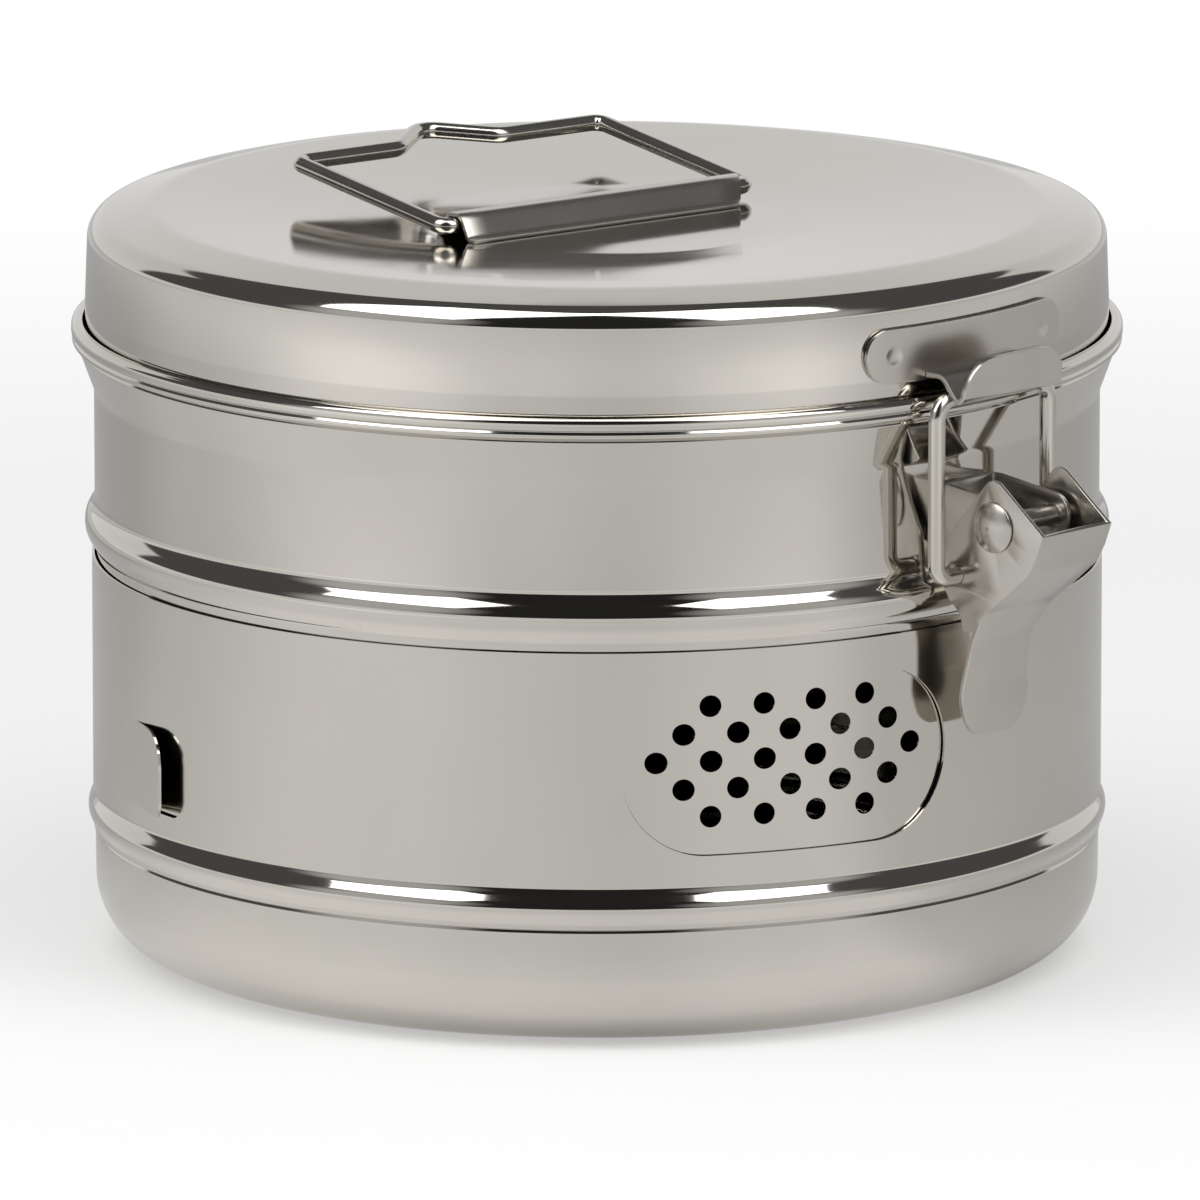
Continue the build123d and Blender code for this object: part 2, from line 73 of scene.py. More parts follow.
def cleanMesh(piece, sharpAngle=35, recalculate=True):
    # merges doubles, turns faces outwards and marks the hard edges
    bm = bmesh.new()
    bm.from_mesh(piece.data)
    bmesh.ops.remove_doubles(bm, verts=bm.verts, dist=0.002 * mm)
    if recalculate:
        bmesh.ops.recalc_face_normals(bm, faces=bm.faces)
    for face in bm.faces:
        face.smooth = True
    for edge in bm.edges:
        edge.smooth = len(edge.link_faces) == 2 and edge.calc_face_angle(0) < radians(sharpAngle)
    bm.to_mesh(piece.data)
    bm.free()


def bakeModifiers(piece):
    # the evaluated mesh takes the place of the piece's own, and its modifiers go
    graph = bpy.context.evaluated_depsgraph_get()
    mesh = bpy.data.meshes.new_from_object(piece.evaluated_get(graph))
    piece.modifiers.clear()
    piece.data = mesh
    mesh.name = piece.name


def roundedPath(points, radii, step=7.0):
    # a polyline whose inner corners are arcs, sampled every few degrees; points are 2-D or 3-D
    points = [Vector(p) for p in points]
    path = [points[0]]
    for before, corner, after, radius in zip(points, points[1:], points[2:], radii):
        into, out = (corner - before).normalized(), (after - corner).normalized()
        turn = into.angle(out)
        if radius <= 0 or turn < 0.001:
            path.append(corner)
            continue
        start = corner - into * radius * tan(turn / 2)
        side = (out - into * into.dot(out)).normalized()
        centre = start + side * radius
        count = max(1, ceil(degrees(turn) / step))
        for k in range(count + 1):
            angle = turn * k / count
            path.append(centre + (into * sin(angle) - side * cos(angle)) * radius)
    path.append(points[-1])
    return path


def offsetCorners(points, distance):
    # mitred parallel on the left of the direction of travel
    headings = [(Vector(b) - Vector(a)).normalized() for a, b in zip(points, points[1:])]
    moved = []
    for i, point in enumerate(points):
        before = headings[max(i - 1, 0)]
        after = headings[min(i, len(headings) - 1)]
        share = distance / (1 + before.dot(after))
        moved.append((point[0] - (before.y + after.y) * share, point[1] + (before.x + after.x) * share))
    return moved


def sheetLoop(points, radii, thickness, step=7.0):
    # closed outline of bent sheet, its thickness on the left of the points
    innerRadii = []
    for (x0, y0), (x1, y1), (x2, y2), radius in zip(points, points[1:], points[2:], radii):
        left = (x1 - x0) * (y2 - y1) - (y1 - y0) * (x2 - x1) > 0
        innerRadii.append(radius - thickness if left else radius + thickness)
    outer = roundedPath(points, radii, step)
    inner = roundedPath(offsetCorners(points, thickness), innerRadii, step)
    return outer + inner[::-1]


def subdivided(loop, longest):
    # splits the long straight runs of an outline, so that no face is a long sliver
    result = []
    for a, b in zip(loop, loop[1:] + loop[:1]):
        count = max(1, ceil((b - a).length / longest))
        result += [a.lerp(b, k / count) for k in range(count)]
    return result


def lathe(name, loop, segments=360):
    # turns a closed outline of (radius, height) in mm once about Z
    verts, faces, rings = [], [], []
    for r, z in loop:
        if abs(r) < 1e-6:
            rings.append([len(verts)] * segments)
            verts.append((0, 0, z * mm))
        else:
            rings.append(list(range(len(verts), len(verts) + segments)))
            verts += [(r * mm * cos(2 * pi * k / segments), r * mm * sin(2 * pi * k / segments), z * mm)
                      for k in range(segments)]
    for low, high in zip(rings, rings[1:] + rings[:1]):
        for k in range(segments):
            n = (k + 1) % segments
            corners = []
            for v in (low[k], low[n], high[n], high[k]):
                if v not in corners:
                    corners.append(v)
            if len(corners) > 2:
                faces.append(corners)
    piece = newMesh(name, verts, faces)
    cleanMesh(piece)
    return piece


def radialNormals(piece, surfaces):
    # exact normals on cylinder walls that a cut has left with uneven faces
    mesh = piece.data
    normals = [tuple(n.vector) for n in mesh.corner_normals]
    for polygon in mesh.polygons:
        centre = polygon.center
        flat = Vector((centre.x, centre.y, 0)).normalized()
        facing = polygon.normal.dot(flat)
        if abs(facing) < 0.97:
            continue
        for radius, low, high in surfaces:
            near = all(abs(hypot(*mesh.vertices[v].co.xy) / mm - radius) < 0.06 for v in polygon.vertices)
            inside = all(low < mesh.vertices[v].co.z / mm < high for v in polygon.vertices)
            if not (near and inside):
                continue
            for loop in polygon.loop_indices:
                point = mesh.vertices[mesh.loops[loop].vertex_index].co
                outward = Vector((point.x, point.y, 0)).normalized() * (1 if facing > 0 else -1)
                normals[loop] = tuple(outward)
    mesh.normals_split_custom_set(normals)


def cutWith(piece, cutters):
    # takes the cutters out of the piece and deletes them
    for cutter in cutters:
        cut = piece.modifiers.new("cut", "BOOLEAN")
        cut.operation = "DIFFERENCE"
        cut.solver = "EXACT"
        cut.object = cutter
    bakeModifiers(piece)
    for cutter in cutters:
        bpy.data.objects.remove(cutter)


def finishPiece(piece, body, material, slot, *nodes):
    piece.data.materials.clear()
    piece.data.materials.append(material)
    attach(piece, body)
    if nodes:
        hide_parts(*nodes)


# ---------- materials ----------
def polishedSteel(name, look):
    # stainless steel sheet, drawn and then buffed on a wheel: a near mirror, softened by the
    # buffing lines that run round it, with a faint orange-peel wave left by the press
    material = bpy.data.materials.new(name)
    material.use_nodes = True
    tree = material.node_tree
    tree.nodes.clear()
    place = addNode(tree, "ShaderNodeTexCoord")
    swirl = addNode(tree, "ShaderNodeMapping", {"Vector": place.outputs["Object"]})
    swirl.inputs["Scale"].default_value = look["lineStretch"]
    lines = addNode(tree, "ShaderNodeTexNoise", {"Vector": swirl.outputs["Vector"], "Scale": 1 / (look["lineSpacing"] * mm),
                                                 "Detail": 3.0, "Roughness": 0.6})
    smudge = addNode(tree, "ShaderNodeTexNoise", {"Vector": place.outputs["Object"], "Scale": 1 / (look["smudgeSize"] * mm),
                                                  "Detail": 4.0, "Roughness": 0.55})
    wave = addNode(tree, "ShaderNodeTexNoise", {"Vector": place.outputs["Object"], "Scale": 1 / (look["waveSize"] * mm),
                                                "Detail": 1.0})
    lineShare = addNode(tree, "ShaderNodeMath", {0: lines.outputs["Fac"], 1: look["lineRoughness"]}, operation="MULTIPLY")
    smudgeShare = addNode(tree, "ShaderNodeMapRange", {"Value": smudge.outputs["Fac"], "From Min": 0.35, "From Max": 0.75,
                                                       "To Min": 0.0, "To Max": look["smudgeRoughness"]})
    both = addNode(tree, "ShaderNodeMath", {0: lineShare.outputs[0], 1: smudgeShare.outputs[0]}, operation="ADD")
    rough = addNode(tree, "ShaderNodeMath", {0: both.outputs[0], 1: look["roughness"]}, operation="ADD")
    tint = addNode(tree, "ShaderNodeMix", {"Factor": smudge.outputs["Fac"]}, data_type="RGBA")
    tint.inputs[6].default_value = srgb(look["colour"])
    tint.inputs[7].default_value = srgb(look["colourWorn"])
    waveBump = addNode(tree, "ShaderNodeBump", {"Strength": 1.0, "Distance": look["waveDepth"] * mm,
                                                "Height": wave.outputs["Fac"]})
    lineBump = addNode(tree, "ShaderNodeBump", {"Strength": 1.0, "Distance": look["lineDepth"] * mm,
                                                "Height": lines.outputs["Fac"], "Normal": waveBump.outputs["Normal"]})
    steel = addNode(tree, "ShaderNodeBsdfPrincipled", {"Base Color": tint.outputs[2], "Metallic": 1.0,
                                                       "Roughness": rough.outputs[0], "Normal": lineBump.outputs["Normal"]})
    addNode(tree, "ShaderNodeOutputMaterial", {"Surface": steel.outputs["BSDF"]})
    return material


sheetLook = {"colour": "#D6D2CB", "colourWorn": "#CFCBC3", "roughness": 0.035, "lineSpacing": 0.9, "lineStretch": (0.05, 0.05, 1.0),
             "lineRoughness": 0.035, "lineDepth": 0.0002, "smudgeSize": 45.0, "smudgeRoughness": 0.04,
             "waveSize": 60.0, "waveDepth": 0.03}
bandLook = dict(sheetLook, roughness=0.06, lineRoughness=0.06)
fittingLook = dict(sheetLook, colour="#CFCBC4", colourWorn="#C6C2BA", roughness=0.22, lineStretch=(1.0, 1.0, 0.15),
                   lineSpacing=0.5, smudgeSize=12.0, waveSize=18.0, waveDepth=0.02)
wireLook = dict(sheetLook, colour="#D2CEC7", roughness=0.13, lineStretch=(1.0, 1.0, 1.0), lineSpacing=0.6,
                smudgeSize=9.0, waveSize=15.0, waveDepth=0.01)
drumSteel = polishedSteel("buffedStainlessSheet", sheetLook)
bandSteel = polishedSteel("rolledStainlessBand", bandLook)
fittingSteel = polishedSteel("tumbledStainlessFitting", fittingLook)
wireSteel = polishedSteel("drawnStainlessWire", wireLook)
print("materials ready")


# ---------- drum body ----------
drum = {"sheet": 0.8, "groove": 119.7, "grooveLow": 39.1, "grooveHigh": 97.7,
        "holeDiameter": 5.2, "holeRowPitch": 6.6, "holePitchAngle": 6.26, "holeRows": 5, "holeMiddle": 6,
        "holeHeight": 69.2, "holeBearing": 24.1, "windows": 2,
        "profile": [(120.6, 29.7), (120.6, 31.0), (122.62, 34.09), (119.7, 38.6), (119.7, 97.7), (123.69, 103.5),
                    (120.0, 108.6), (120.0, 135.9), (123.8, 146.3), (123.4, 147.2), (123.4, 151.9)],
        "radii": [1.6, 4.0, 4.5, 2.5, 6.0, 6.0, 5.0, 0.5, 1.0],
        "rim": [(123.4, 147.5), (125.2, 147.5), (125.2, 148.5), (124.8, 149.1), (125.38, 149.7), (125.38, 152.4),
                (122.6, 152.4), (122.6, 151.0)],
        "rimRadii": [0.1, 0.4, 0.4, 0.1, 0.4, 1.6, 0.5, 0.1]}


def perforationTree(size):
    # rows of drills on points counted row by row; the drills are taken out of the wall
    tree = bpy.data.node_groups.new("steamHoles", "GeometryNodeTree")
    face = tree.interface
    face.new_socket("Geometry", in_out="OUTPUT", socket_type="NodeSocketGeometry")
    face.new_socket("Geometry", in_out="INPUT", socket_type="NodeSocketGeometry")
    for name, value in size.items():
        kind = "NodeSocketInt" if isinstance(value, int) else "NodeSocketFloat"
        face.new_socket(name, in_out="INPUT", socket_type=kind).default_value = value
    given = addNode(tree, "NodeGroupInput").outputs

    def calc(operation, a, b=0.0, c=0.0):
        return addNode(tree, "ShaderNodeMath", {0: a, 1: b, 2: c}, operation=operation).outputs[0]

    index = addNode(tree, "GeometryNodeInputIndex").outputs[0]
    perField = calc("MULTIPLY", given["Rows"], given["Middle count"])
    total = calc("MULTIPLY", perField, given["Fields"])
    field = calc("FLOOR", calc("DIVIDE", index, perField))
    inField = calc("SUBTRACT", index, calc("MULTIPLY", field, perField))
    row = calc("FLOOR", calc("DIVIDE", inField, given["Middle count"]))
    place = calc("SUBTRACT", inField, calc("MULTIPLY", row, given["Middle count"]))
    rowStep = calc("SUBTRACT", row, calc("MULTIPLY", calc("SUBTRACT", given["Rows"], 1.0), 0.5))
    count = calc("SUBTRACT", given["Middle count"], calc("ABSOLUTE", rowStep))
    spare = calc("GREATER_THAN", place, calc("SUBTRACT", count, 0.5))
    placeStep = calc("SUBTRACT", place, calc("MULTIPLY", calc("SUBTRACT", count, 1.0), 0.5))
    fieldTurn = calc("DIVIDE", calc("MULTIPLY", field, 2 * pi), given["Fields"])
    bearing = calc("ADD", calc("ADD", given["Bearing"], fieldTurn), calc("MULTIPLY", placeStep, given["Pitch angle"]))
    x = calc("MULTIPLY", calc("MULTIPLY", calc("SINE", bearing), given["Wall radius"]), -1.0)
    y = calc("MULTIPLY", calc("MULTIPLY", calc("COSINE", bearing), given["Wall radius"]), -1.0)
    z = calc("ADD", given["Height"], calc("MULTIPLY", rowStep, given["Row pitch"]))
    spot = addNode(tree, "ShaderNodeCombineXYZ", {0: x, 1: y, 2: z})
    turn = addNode(tree, "ShaderNodeCombineXYZ", {0: pi / 2, 1: 0.0, 2: calc("MULTIPLY", bearing, -1.0)})
    points = addNode(tree, "GeometryNodePoints", {"Count": total, "Position": spot.outputs[0]})
    kept = addNode(tree, "GeometryNodeDeleteGeometry", {0: points.outputs[0], 1: spare}, domain="POINT")
    drill = addNode(tree, "GeometryNodeMeshCylinder", {"Vertices": 40, "Radius": given["Hole radius"], "Depth": 8 * mm})
    euler = addNode(tree, "FunctionNodeEulerToRotation", {0: turn.outputs[0]})
    placed = addNode(tree, "GeometryNodeInstanceOnPoints", {"Points": kept.outputs[0], "Instance": drill.outputs["Mesh"],
                                                            "Rotation": euler.outputs[0]})
    drills = addNode(tree, "GeometryNodeRealizeInstances", {0: placed.outputs[0]})
    cut = addNode(tree, "GeometryNodeMeshBoolean", operation="DIFFERENCE", solver="EXACT")
    tree.links.new(given["Geometry"], cut.inputs[0])
    tree.links.new(drills.outputs[0], cut.inputs[1])
    paint = addNode(tree, "GeometryNodeSetMaterial", {0: cut.outputs[0]})
    paint.inputs["Material"].default_value = drumSteel
    addNode(tree, "NodeGroupOutput", {0: paint.outputs[0]})
    return tree


def makeDrumBody():
    wall = roundedPath(drum["profile"], drum["radii"])[:-1]
    back = sheetLoop(drum["profile"], drum["radii"], drum["sheet"])
    inside = [p for p in back[len(wall) + 1:] if p.y < 151]
    fold = roundedPath([wall[-1]] + drum["rim"] + [inside[0]], drum["rimRadii"], 10.0)[1:-1]
    body = lathe("drumBody", subdivided(wall + fold + inside, 15))
    size = {"Rows": drum["holeRows"], "Middle count": drum["holeMiddle"], "Fields": drum["windows"],
            "Hole radius": drum["holeDiameter"] / 2 * mm, "Row pitch": drum["holeRowPitch"] * mm,
            "Pitch angle": radians(drum["holePitchAngle"]), "Bearing": radians(drum["holeBearing"]),
            "Height": drum["holeHeight"] * mm, "Wall radius": (drum["groove"] - drum["sheet"] / 2) * mm}
    tree = perforationTree(size)
    modifier = body.modifiers.new("steamHoles", "NODES")
    modifier.node_group = tree
    for item in tree.interface.items_tree:
        if item.in_out == "INPUT" and item.name in size:
            modifier[item.identifier] = size[item.name]
    bakeModifiers(body)
    cleanMesh(body, recalculate=False)
    low, high = drum["grooveLow"] + 0.9, drum["grooveHigh"] - 0.9
    radialNormals(body, [(drum["groove"], low, high), (drum["groove"] - drum["sheet"], low, high)])
    finishPiece(body, "drum", drumSteel, "polished_sheet", "drum_body")
    return body


makeDrumBody()
print("drum body made")


# ---------- base pan ----------
pan = {"profile": [(0, 0), (119.85, 0), (120.2, 28.7), (119.75, 29.7), (119.75, 36.0)],
       "radii": [18.0, 0.9, 0.1], "sheet": 0.8}


def makeBasePan():
    loop = subdivided(sheetLoop(pan["profile"], pan["radii"], pan["sheet"], 5.0), 15)
    piece = lathe("basePan", loop)
    finishPiece(piece, "drum", drumSteel, "polished_sheet", "base_pan")


makeBasePan()
print("base pan made")


# ---------- lid ----------
lid = {"profile": [(122.0, 144.89), (122.05, 156.9), (121.3, 176.7), (106.2, 179.75), (44.0, 175.59), (0, 175.59)],
       "radii": [10.0, 5.6, 13.0, 60.0], "sheet": 0.8}


def makeLidShell():
    loop = subdivided(sheetLoop(lid["profile"], lid["radii"], lid["sheet"], 4.0), 12)
    piece = lathe("lidShell", loop)
    finishPiece(piece, "lid", drumSteel, "polished_sheet", "lid_shell")


makeLidShell()
print("lid made")


# ---------- shutter band ----------
band = {"inner": 120.1, "outer": 120.7, "low": 39.6, "high": 95.7, "windowArc": 84.3, "windowHeight": 41.4,
        "windowZ": 67.5, "windowBearing": 23.7, "tabLength": 28.0, "tabHeight": 20.2, "tabSill": 5.0, "tabLift": 1.5, "tabArch": 12.0,
        "tabCorner": 3.0, "tabHingeCorner": 4.5, "tabFlapCorner": 8.0, "tabSlit": 2.4, "tabPair": 128.2, "tabSpread": 25.6}


def wrapped(outline, innerRadius, outerRadius, bearing, flip=1):
    # a closed outline of (arc length, height) wrapped on the drum as a thick block, for cutting
    mid = band["outer"]
    verts, count = [], len(outline)
    for radius in (innerRadius, outerRadius):
        for arc, z in outline:
            angle = radians(bearing) - flip * arc / mid
            verts.append((-radius * sin(angle) * mm, -radius * cos(angle) * mm, z * mm))
    faces = [tuple(range(count))[::-1], tuple(range(count, 2 * count))]
    faces += [(k, (k + 1) % count, (k + 1) % count + count, k + count) for k in range(count)]
    block = newMesh("cutter", verts, faces)
    bm = bmesh.new()
    bm.from_mesh(block.data)
    bmesh.ops.recalc_face_normals(bm, faces=bm.faces)
    bm.to_mesh(block.data)
    bm.free()
    return block


def stadium(width, height, z):
    radius = height / 2
    half = width / 2 - radius
    right = [Vector((half + radius * sin(a), z - radius * cos(a))) for a in [pi * k / 32 for k in range(33)]]
    left = [Vector((-p.x, p.y)) for p in right][::-1]
    return subdivided(right + left, 2.0)


def tabOutline(length):
    corners = [(0, 0), (length, 0), (length, band["tabHeight"]), (0, band["tabHeight"]), (0, 0)]
    radii = [band["tabCorner"], band["tabArch"], band["tabHingeCorner"]]
    low = band["low"] + band["tabSill"]
    return [Vector((p.x, p.y + low)) for p in subdivided(roundedPath(corners, radii)[:-1], 1.5)]


def tabFlap(bearing, flip):
    # the lifted flap: it bends outwards close to its hinge edge and then stays flat
    length, height = band["tabLength"], band["tabHeight"]
    low = band["low"] + band["tabSill"]
    arch, corner, hingeCorner = band["tabFlapCorner"], band["tabCorner"], band["tabHingeCorner"]
    lift, bend, root = radians(band["tabLift"]), 5.0, 0.6
    columns = 44
    stations = []
    for k in range(columns + 1):
        s = -root + (length + root) * k / columns
        top, bottom = height, 0.0
        if s > length - arch:
            top = height - arch + sqrt(max(arch**2 - (s - length + arch) ** 2, 0))
        if s < hingeCorner:
            top = height - hingeCorner + sqrt(max(hingeCorner**2 - (hingeCorner - max(s, 0)) ** 2, 0))
        if s > length - corner:
            bottom = corner - sqrt(max(corner**2 - (s - length + corner) ** 2, 0))
        stations.append((s, bottom, top))
    rows = 10
    verts, faces = [], []
    for layer in (0, 1):
        for s, bottom, top in stations:
            angle = lift * min(max(s / bend, 0), 1)
            outward = (s - bend / 2) * tan(lift) if s > bend else s * tan(angle) / 2
            radius = band["inner"] + max(outward, 0) + layer * (band["outer"] - band["inner"])
            for k in range(rows + 1):
                z = low + bottom + (top - bottom) * k / rows
                verts.append(Vector((flip * s, -radius, z)))
    grid = (columns + 1) * (rows + 1)
    for c in range(columns):
        for r in range(rows):
            a = c * (rows + 1) + r
            b = a + rows + 1
            faces += [(a, b, b + 1, a + 1), (grid + a, grid + a + 1, grid + b + 1, grid + b)]
    edge = [c * (rows + 1) for c in range(columns + 1)]
    edge += [columns * (rows + 1) + r for r in range(1, rows + 1)]
    edge += [c * (rows + 1) + rows for c in range(columns - 1, -1, -1)]
    edge += list(range(rows - 1, 0, -1))
    faces += [(a, b, b + grid, a + grid) for a, b in zip(edge, edge[1:] + edge[:1])]
    turn = Matrix.Rotation(-radians(bearing), 3, "Z")
    return newMesh("flap", [turn @ v * mm for v in verts], faces)


def makeShutterBand():
    loop = [(band["inner"], band["low"]), (band["outer"], band["low"]), (band["outer"], band["high"]),
            (band["inner"], band["high"])]
    piece = lathe("shutterBand", subdivided([Vector(p) for p in loop], 9))
    cutters = []
    for side in range(drum["windows"]):
        bearing = band["windowBearing"] + side * 360 / drum["windows"]
        outline = stadium(band["windowArc"], band["windowHeight"], band["windowZ"])
        cutters.append(wrapped(outline, 115, 125, bearing))
    flaps = []
    for flip in (1, -1):
        bearing = band["tabPair"] - flip * band["tabSpread"] / 2
        cutters.append(wrapped(tabOutline(band["tabLength"] + band["tabSlit"]), 115, 125, bearing, flip))
        flaps.append(tabFlap(bearing, flip))
    cutWith(piece, cutters)
    bm = bmesh.new()
    bm.from_mesh(piece.data)
    for flap in flaps:
        bm.from_mesh(flap.data)
        bpy.data.objects.remove(flap)
    bm.to_mesh(piece.data)
    bm.free()
    cleanMesh(piece, recalculate=False)
    radialNormals(piece, [(band["outer"], 0, 200), (band["inner"], 0, 200)])
    finishPiece(piece, "shutter", bandSteel, "polished_sheet", "shutter_band")


makeShutterBand()
print("shutter band made")


# ---------- wires ----------
def wireTree():
    # a round wire along a chain of edges
    tree = bpy.data.node_groups.new("roundWire", "GeometryNodeTree")
    face = tree.interface
    face.new_socket("Geometry", in_out="OUTPUT", socket_type="NodeSocketGeometry")
    face.new_socket("Geometry", in_out="INPUT", socket_type="NodeSocketGeometry")
    face.new_socket("Wire radius", in_out="INPUT", socket_type="NodeSocketFloat")
    face.new_socket("Sides", in_out="INPUT", socket_type="NodeSocketInt")
    given = addNode(tree, "NodeGroupInput").outputs
    line = addNode(tree, "GeometryNodeMeshToCurve", {0: given["Geometry"]})
    ring = addNode(tree, "GeometryNodeCurvePrimitiveCircle", {"Resolution": given["Sides"], "Radius": given["Wire radius"]})
    wire = addNode(tree, "GeometryNodeCurveToMesh", {"Curve": line.outputs[0], "Profile Curve": ring.outputs[0],
                                                     "Fill Caps": True})
    whole = addNode(tree, "GeometryNodeRealizeInstances", {0: wire.outputs[0]})
    paint = addNode(tree, "GeometryNodeSetMaterial", {0: whole.outputs[0]})
    paint.inputs["Material"].default_value = wireSteel
    addNode(tree, "NodeGroupOutput", {0: paint.outputs[0]})
    return tree


wireNodes = wireTree()


def makeWire(name, points, radii, diameter, place, body, *nodes):
    path = roundedPath(points, radii, 6.0)
    chain = bpy.data.meshes.new(name)
    chain.from_pydata([tuple(place @ (Vector((p.x, p.y, 0.0)) * mm)) for p in path],
                      [(k, k + 1) for k in range(len(path) - 1)], [])
    piece = bpy.data.objects.new(name, chain)
    bpy.context.scene.collection.objects.link(piece)
    modifier = piece.modifiers.new("roundWire", "NODES")
    modifier.node_group = wireNodes
    for item in wireNodes.interface.items_tree:
        if item.name == "Wire radius":
            modifier[item.identifier] = diameter / 2 * mm
        if item.name == "Sides":
            modifier[item.identifier] = 36
    bakeModifiers(piece)
    cleanMesh(piece)
    finishPiece(piece, body, wireSteel, "polished_wire", *nodes)


# ---------- handle ----------
bail = {"wire": 4.0, "width": 90.0, "leg": 60.5, "peak": 12.5, "peakWidth": 30.0, "elbow": 3.0, "peakRadius": 6.0,
        "tail": 30.0, "restAngle": 6.15, "pivotZ": 178.794, "turn": -10.0}


def makeBail():
    half, leg, peak = bail["width"] / 2, bail["leg"], bail["peakWidth"] / 2
    points = [(half - bail["tail"], 0), (half, 0), (half, leg), (peak, leg), (0, leg + bail["peak"]),
              (-peak, leg), (-half, leg), (-half, 0), (-half + bail["tail"], 0)]
    radii = [bail["elbow"]] * 2 + [bail["peakRadius"]] * 3 + [bail["elbow"]] * 2
    place = (Matrix.Translation((0, 0, bail["pivotZ"] * mm)) @ Matrix.Rotation(radians(bail["turn"]), 4, "Z")
             @ Matrix.Rotation(radians(bail["restAngle"]), 4, "X"))
    makeWire("bailHandle", points, radii, bail["wire"], place, "bail", "bail_handle")


makeBail()
print("handle made")


# ---------- latch loop ----------
loopWire = {"wire": 4.0, "half": 19.2, "foot": 9.8, "corner": 5.0, "footCorner": 3.5, "y": -128.0, "pivotZ": 109.5,
            "barZ": 152.0}


def makeLatchLoop():
    half, foot = loopWire["half"], loopWire["foot"]
    low, high = loopWire["pivotZ"], loopWire["barZ"]
    points = [(-foot, low), (-half, low), (-half, high), (half, high), (half, low), (foot, low)]
    radii = [loopWire["footCorner"], loopWire["corner"], loopWire["corner"], loopWire["footCorner"]]
    place = Matrix.Translation((0, loopWire["y"] * mm, 0)) @ Matrix.Rotation(radians(90), 4, "X")
    makeWire("latchLoop", points, radii, loopWire["wire"], place, "loop", "latch_loop")


makeLatchLoop()
print("latch loop made")


# ---------- pressed fittings ----------
fittings = {"latch_lever": ("latchLever", "lever", 0.25), "latch_bracket": ("latchBracket", "drum", 0.2),
            "latch_pin": ("latchPin", "drum", 0.15), "latch_spacer": ("latchSpacer", "drum", 0.1),
            "hinge_lid_leaf": ("hingeLidLeaf", "lid", 0.2), "hinge_body_leaf": ("hingeBodyLeaf", "drum", 0.2),
            "hinge_pin": ("hingePin", "drum", 0.1)}


def makeFitting(node, name, body, edge):
    # the fitting's own solid with its stamped edges broken, as tumbling leaves them
    piece = bpy.data.objects.new(name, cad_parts[node].data.copy())
    bpy.context.scene.collection.objects.link(piece)
    bm = bmesh.new()
    bm.from_mesh(piece.data)
    bmesh.ops.remove_doubles(bm, verts=bm.verts, dist=0.004 * mm)
    bmesh.ops.dissolve_limit(bm, angle_limit=radians(0.5), verts=bm.verts, edges=bm.edges)
    bm.to_mesh(piece.data)
    bm.free()
    bevel = piece.modifiers.new("brokenEdges", "BEVEL")
    bevel.width = edge * mm
    bevel.segments = 2
    bevel.limit_method = "ANGLE"
    bevel.angle_limit = radians(40)
    bakeModifiers(piece)
    cleanMesh(piece, recalculate=False)
    finishPiece(piece, body, fittingSteel, "pressed_fitting", node)


for node, (name, body, edge) in fittings.items():
    makeFitting(node, name, body, edge)
print("fittings made")


def skin(near, far):
    # closes two equal grids of points into one skin
    columns, rows = len(near), len(near[0])
    size = columns * rows
    faces = []
    for c in range(columns - 1):
        for a in range(c * rows, c * rows + rows - 1):
            faces += [(a, a + rows, a + rows + 1, a + 1), (size + a, size + a + 1, size + a + rows + 1, size + a + rows)]
    edge = [c * rows for c in range(columns)] + [size - rows + r for r in range(1, rows)]
    edge += [c * rows + rows - 1 for c in range(columns - 2, -1, -1)] + list(range(rows - 2, 0, -1))
    faces += [(a, b, b + size, a + size) for a, b in zip(edge, edge[1:] + edge[:1])]
    return [v for grid in (near, far) for column in grid for v in column], faces


def openRun(path, longest):
    # splits the long straight runs of an open path
    result = [path[0]]
    for a, b in zip(path, path[1:]):
        count = max(1, ceil((b - a).length / longest))
        result += [a.lerp(b, k / count) for k in range(1, count + 1)]
    return result


def bentSheet(path, ends, thickness, rows):
    # a strip of sheet along a bent path of (out, up), its thickness on the left of the path;
    # ends gives the strip's two sides at each point of the path
    layers = []
    for depth in (0.0, thickness):
        grid = []
        for i, point in enumerate(path):
            along = (path[min(i + 1, len(path) - 1)] - path[max(i - 1, 0)]).normalized()
            spot = point + Vector((-along.y, along.x)) * depth
            left, right = ends[i]
            grid.append([Vector((left + (right - left) * k / rows, -spot.x, spot.y)) for k in range(rows + 1)])
        layers.append(grid)
    return skin(*layers)


def pressedPiece(name, skins, place, edge, node):
    piece = bpy.data.objects.new(name, bpy.data.meshes.new(name))
    bpy.context.scene.collection.objects.link(piece)
    verts, faces = [], []
    for skinVerts, skinFaces in skins:
        faces += [[v + len(verts) for v in face] for face in skinFaces]
        verts += [place @ (v * mm) for v in skinVerts]
    piece.data.from_pydata([tuple(v) for v in verts], [], faces)
    cleanMesh(piece)
    bevel = piece.modifiers.new("brokenEdges", "BEVEL")
    bevel.width = edge * mm
    bevel.segments = 2
    bevel.limit_method = "ANGLE"
    bevel.angle_limit = radians(40)
    bakeModifiers(piece)
    cleanMesh(piece, recalculate=False)
    finishPiece(piece, "lid", fittingSteel, "pressed_fitting", node)


# ---------- handle saddle ----------
saddle = {"half": 42.0, "sheet": 1.0, "endTaper": 0.7,
          "profile": [(-7.2, -3.15), (-4.6, -3.15), (-2.4, 2.15), (2.2, 2.15), (5.2, -3.15), (8.2, -3.15)],
          "radii": [2.0, 2.1, 2.1, 2.4]}


